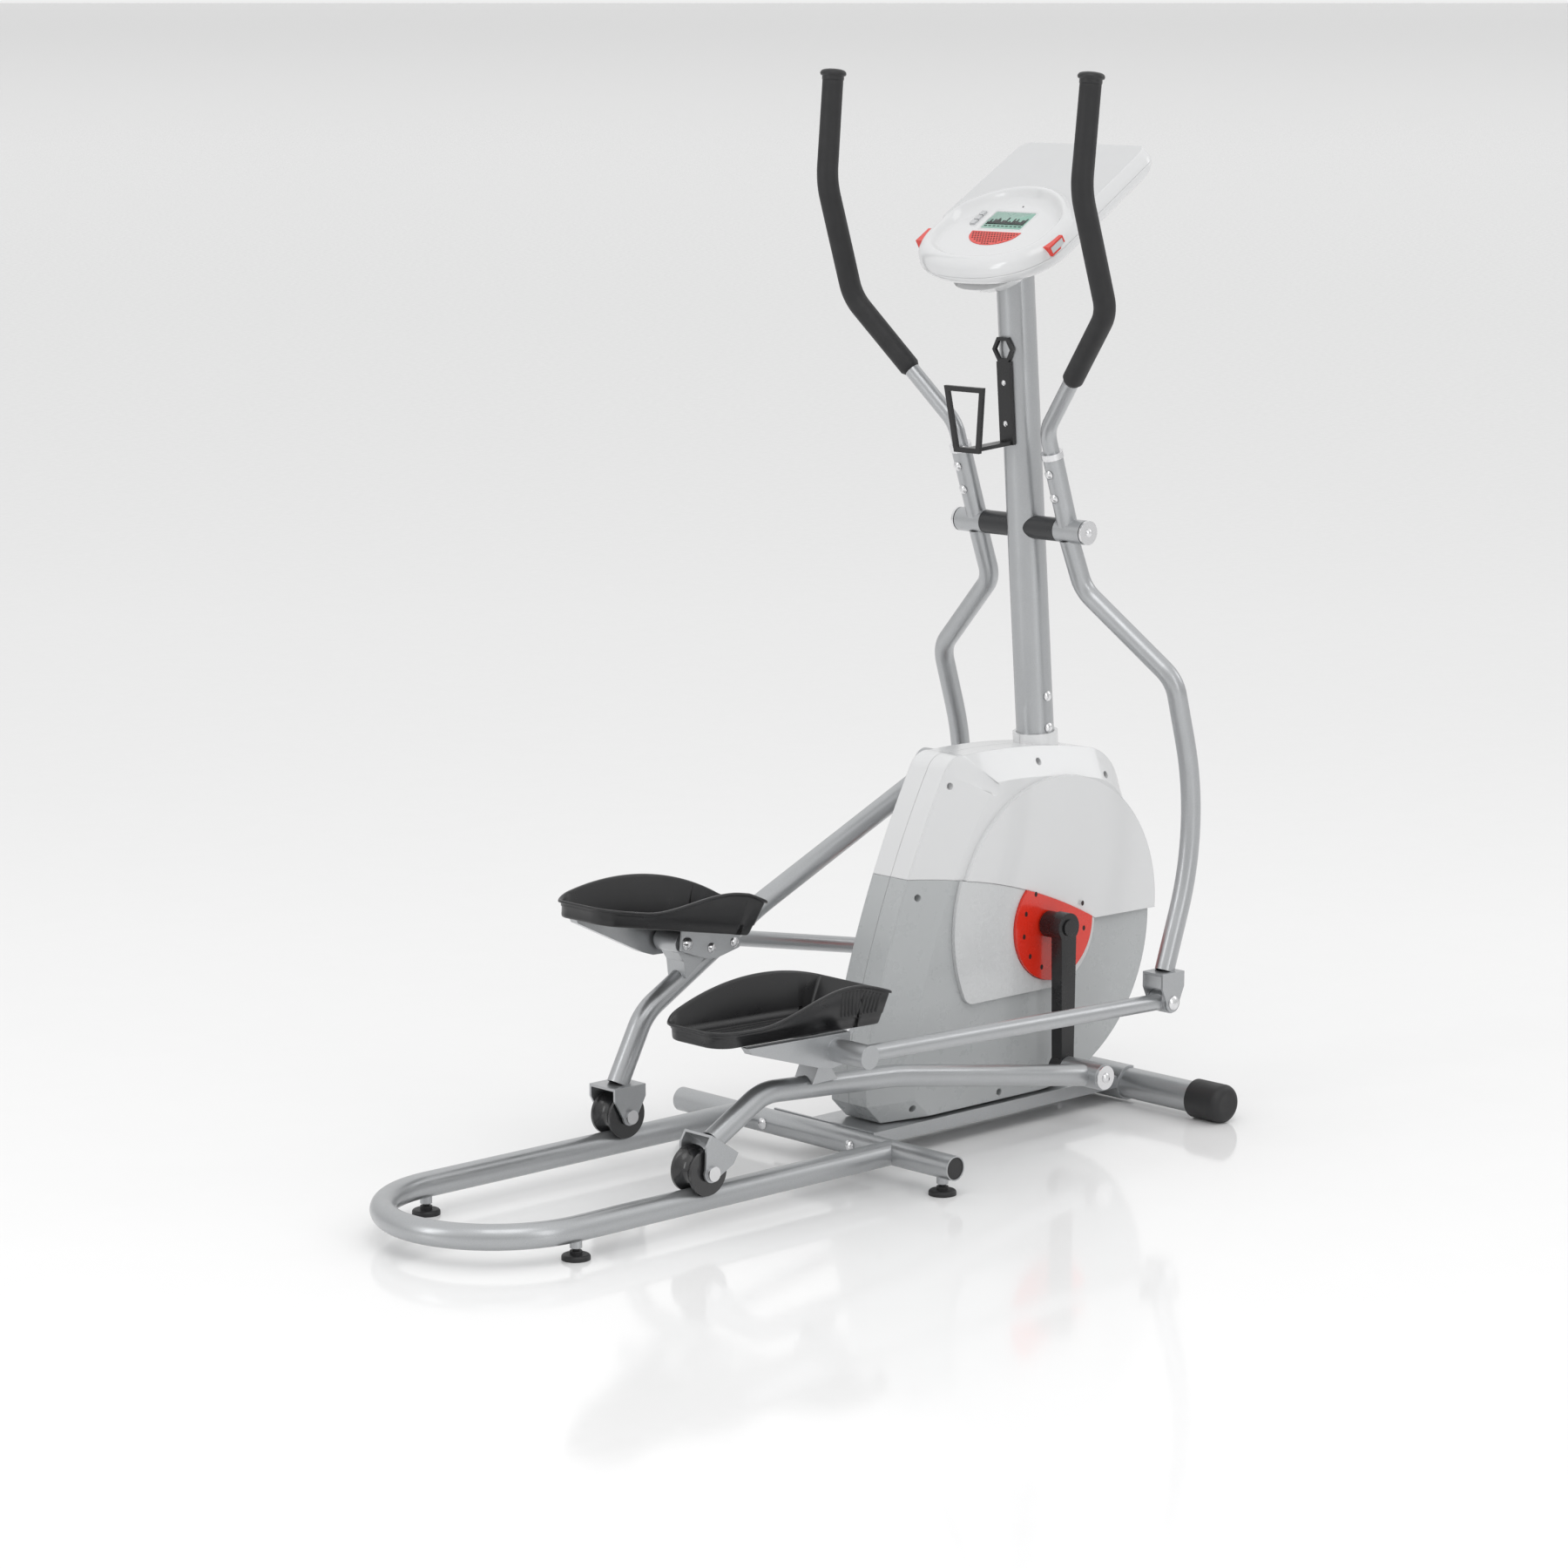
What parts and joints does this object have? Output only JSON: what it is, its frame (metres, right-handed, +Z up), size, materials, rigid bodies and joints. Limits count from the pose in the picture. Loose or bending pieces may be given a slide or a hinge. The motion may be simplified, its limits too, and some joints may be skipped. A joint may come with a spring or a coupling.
{
  "type": "elliptical trainer",
  "caption": "front-drive elliptical cross trainer with swinging handlebars, foot pedals on roller legs, a curved floor rail, a shrouded flywheel drive and a console on a leaning mast",
  "frame": {"origin": "on the floor under the middle of the machine's overall length and width", "axes": "+X the way the user faces, towards the drive shroud; +Y to the user's left; +Z up"},
  "size_m": [1.515, 0.606, 1.656],
  "materials": {
    "frame_paint": "satin silver-grey metallic powder coat",
    "black_rubber": "matt moulded rubber",
    "black_plastic": "satin moulded black plastic with fine grain",
    "bright_steel": "bright zinc-plated steel",
    "black_metal": "satin black powder coat",
    "wheel_plastic": "dark grey glossy urethane",
    "white_gloss": "glossy white moulded plastic",
    "light_grey": "light grey satin moulded plastic",
    "insert_grey": "pale grey satin moulded plastic",
    "red_plastic": "bright red moulded plastic",
    "display_green": "green liquid crystal display behind a clear window",
    "silver_plastic": "silver painted plastic",
    "foam": "black closed-cell foam with a fine open skin",
    "drive_plastic": "black glass-filled plastic",
    "iron": "turned cast iron",
    "belt_rubber": "black ribbed belt rubber"
  },
  "bodies": {
    "frame": {"base_frame": "frame_paint", "rear_cross_tube": "frame_paint", "cross_tube_caps": "black_plastic", "slide_rail": "frame_paint", "front_stabilizer": "frame_paint", "stabilizer_end_caps": "black_rubber", "frame_bolts": "bright_steel", "mast_tube": "frame_paint", "upper_shroud_left": "white_gloss", "upper_shroud_right": "white_gloss", "lower_shroud_left": "light_grey", "lower_shroud_right": "light_grey", "disc_covers": "insert_grey", "crank_covers": "red_plastic", "housing_screws": "bright_steel", "handlebar_axle": "bright_steel", "pivot_spacers": "black_plastic", "console_top_shell": "white_gloss", "console_bottom_shell": "white_gloss", "reading_tray": "light_grey", "display": "display_green", "console_red_trim": "red_plastic", "bottle_cage": "black_plastic", "drive_belt": "belt_rubber"},
    "crank": {"crank_axle": "bright_steel", "crank_arm_left": "black_metal", "crank_arm_right": "black_metal", "drive_pulley": "drive_plastic"},
    "flywheel_body": {"flywheel": "iron"},
    "carriage_right": {"roller_axle_right": "bright_steel"},
    "wheel_right": {"roller_wheel_right": "wheel_plastic"},
    "leg_right": {"leg_arm_right": "frame_paint", "leg_hub_bolt_right": "bright_steel"},
    "foot_right": {"foot_link_right": "frame_paint", "pedal_right": "black_plastic", "pedal_bolts_right": "bright_steel"},
    "handlebar_right": {"lower_arm_right": "frame_paint", "handlebar_tube_right": "frame_paint", "grip_right": "foam", "bar_fittings_right": "bright_steel"},
    "carriage_left": {"roller_axle_left": "bright_steel"},
    "wheel_left": {"roller_wheel_left": "wheel_plastic"},
    "leg_left": {"leg_arm_left": "frame_paint", "leg_hub_bolt_left": "bright_steel"},
    "foot_left": {"foot_link_left": "frame_paint", "pedal_left": "black_plastic", "pedal_bolts_left": "bright_steel"},
    "handlebar_left": {"lower_arm_left": "frame_paint", "handlebar_tube_left": "frame_paint", "grip_left": "foam", "bar_fittings_left": "bright_steel"},
    "foot_pad_rear_right": {"levelling_foot_rear_right": "black_rubber"},
    "foot_pad_rear_left": {"levelling_foot_rear_left": "black_rubber"},
    "foot_pad_middle_right": {"levelling_foot_middle_right": "black_rubber"},
    "foot_pad_middle_left": {"levelling_foot_middle_left": "black_rubber"},
    "button_1": {"console_button_1": "silver_plastic"},
    "button_2": {"console_button_2": "silver_plastic"},
    "button_3": {"console_button_3": "silver_plastic"},
    "side_key_right": {"side_button_right": "silver_plastic"},
    "side_key_left": {"side_button_left": "silver_plastic"}
  },
  "joints": [
    {"name": "crank_turn", "type": "hinge", "parent": "frame", "child": "crank", "pos_m": [0.4975, 0, 0.322], "axis": [0, 1, 0], "range_deg": [0, 90]},
    {"name": "flywheel_spin", "type": "hinge", "parent": "frame", "child": "flywheel_body", "pos_m": [0.33, 0, 0.2], "axis": [0, 1, 0], "continuous": true},
    {"name": "roller_travel_right", "type": "slide", "parent": "frame", "child": "carriage_right", "axis": [1, 0, 0], "range_m": [-0.19453, 0]},
    {"name": "wheel_spin_right", "type": "hinge", "parent": "carriage_right", "child": "wheel_right", "pos_m": [-0.33448, -0.168, 0.088], "axis": [0, 1, 0], "continuous": true},
    {"name": "leg_swing_right", "type": "hinge", "parent": "carriage_right", "child": "leg_right", "pos_m": [-0.33448, -0.168, 0.088], "axis": [0, 1, 0], "range_deg": [-15.93, 0]},
    {"name": "pedal_link_swing_right", "type": "hinge", "parent": "leg_right", "child": "foot_right", "pos_m": [-0.10104, -0.168, 0.23669], "axis": [0, 1, 0], "range_deg": [0, 18.82]},
    {"name": "handlebar_swing_right", "type": "hinge", "parent": "frame", "child": "handlebar_right", "pos_m": [0.513, -0.107, 0.946], "axis": [0, 1, 0], "range_deg": [0, 19.48]},
    {"name": "roller_travel_left", "type": "slide", "parent": "frame", "child": "carriage_left", "axis": [1, 0, 0], "range_m": [0, 0.12157]},
    {"name": "wheel_spin_left", "type": "hinge", "parent": "carriage_left", "child": "wheel_left", "pos_m": [-0.19444, 0.168, 0.088], "axis": [0, 1, 0], "continuous": true},
    {"name": "leg_swing_left", "type": "hinge", "parent": "carriage_left", "child": "leg_left", "pos_m": [-0.19444, 0.168, 0.088], "axis": [0, 1, 0], "range_deg": [0, 17.4]},
    {"name": "pedal_link_swing_left", "type": "hinge", "parent": "leg_left", "child": "foot_left", "pos_m": [-0.08104, 0.168, 0.34047], "axis": [0, 1, 0], "range_deg": [-25.35, 0]},
    {"name": "handlebar_swing_left", "type": "hinge", "parent": "frame", "child": "handlebar_left", "pos_m": [0.513, 0.107, 0.946], "axis": [0, 1, 0], "range_deg": [-16.34, 0]},
    {"name": "level_rear_right", "type": "hinge", "parent": "frame", "child": "foot_pad_rear_right", "pos_m": [-0.5705, -0.168, 0.03], "axis": [0, 0, 1], "continuous": true},
    {"name": "level_rear_left", "type": "hinge", "parent": "frame", "child": "foot_pad_rear_left", "pos_m": [-0.5705, 0.168, 0.03], "axis": [0, 0, 1], "continuous": true},
    {"name": "level_middle_right", "type": "hinge", "parent": "frame", "child": "foot_pad_middle_right", "pos_m": [0.06, -0.276, 0.03], "axis": [0, 0, 1], "continuous": true},
    {"name": "level_middle_left", "type": "hinge", "parent": "frame", "child": "foot_pad_middle_left", "pos_m": [0.06, 0.276, 0.03], "axis": [0, 0, 1], "continuous": true},
    {"name": "press_1", "type": "slide", "parent": "frame", "child": "button_1", "axis": [0.5299, 0, -0.848], "range_m": [0, 0.0015], "stiffness_N_per_m": 400, "springref_m": -0.001},
    {"name": "press_2", "type": "slide", "parent": "frame", "child": "button_2", "axis": [0.5299, 0, -0.848], "range_m": [0, 0.0015], "stiffness_N_per_m": 400, "springref_m": -0.001},
    {"name": "press_3", "type": "slide", "parent": "frame", "child": "button_3", "axis": [0.5299, 0, -0.848], "range_m": [0, 0.0015], "stiffness_N_per_m": 400, "springref_m": -0.001},
    {"name": "press_side_right", "type": "slide", "parent": "frame", "child": "side_key_right", "axis": [0, 1, 0], "range_m": [0, 0.0015], "stiffness_N_per_m": 400, "springref_m": -0.001},
    {"name": "press_side_left", "type": "slide", "parent": "frame", "child": "side_key_left", "axis": [0, -1, 0], "range_m": [0, 0.0015], "stiffness_N_per_m": 400, "springref_m": -0.001}
  ],
  "couplings": [
    {"joint": "flywheel_spin", "follows": "crank_turn", "ratio": 5},
    {"joint": "roller_travel_right", "follows": "crank_turn", "m_per_rad": -0.12379},
    {"joint": "wheel_spin_right", "follows": "crank_turn", "ratio": -5.1365},
    {"joint": "leg_swing_right", "follows": "crank_turn", "ratio": -0.17691},
    {"joint": "pedal_link_swing_right", "follows": "crank_turn", "ratio": 0.20901},
    {"joint": "handlebar_swing_right", "follows": "crank_turn", "ratio": 0.21638},
    {"joint": "roller_travel_left", "follows": "crank_turn", "m_per_rad": 0.07736},
    {"joint": "wheel_spin_left", "follows": "crank_turn", "ratio": 3.21},
    {"joint": "leg_swing_left", "follows": "crank_turn", "ratio": 0.19329},
    {"joint": "pedal_link_swing_left", "follows": "crank_turn", "ratio": -0.28158},
    {"joint": "handlebar_swing_left", "follows": "crank_turn", "ratio": -0.18152}
  ]
}
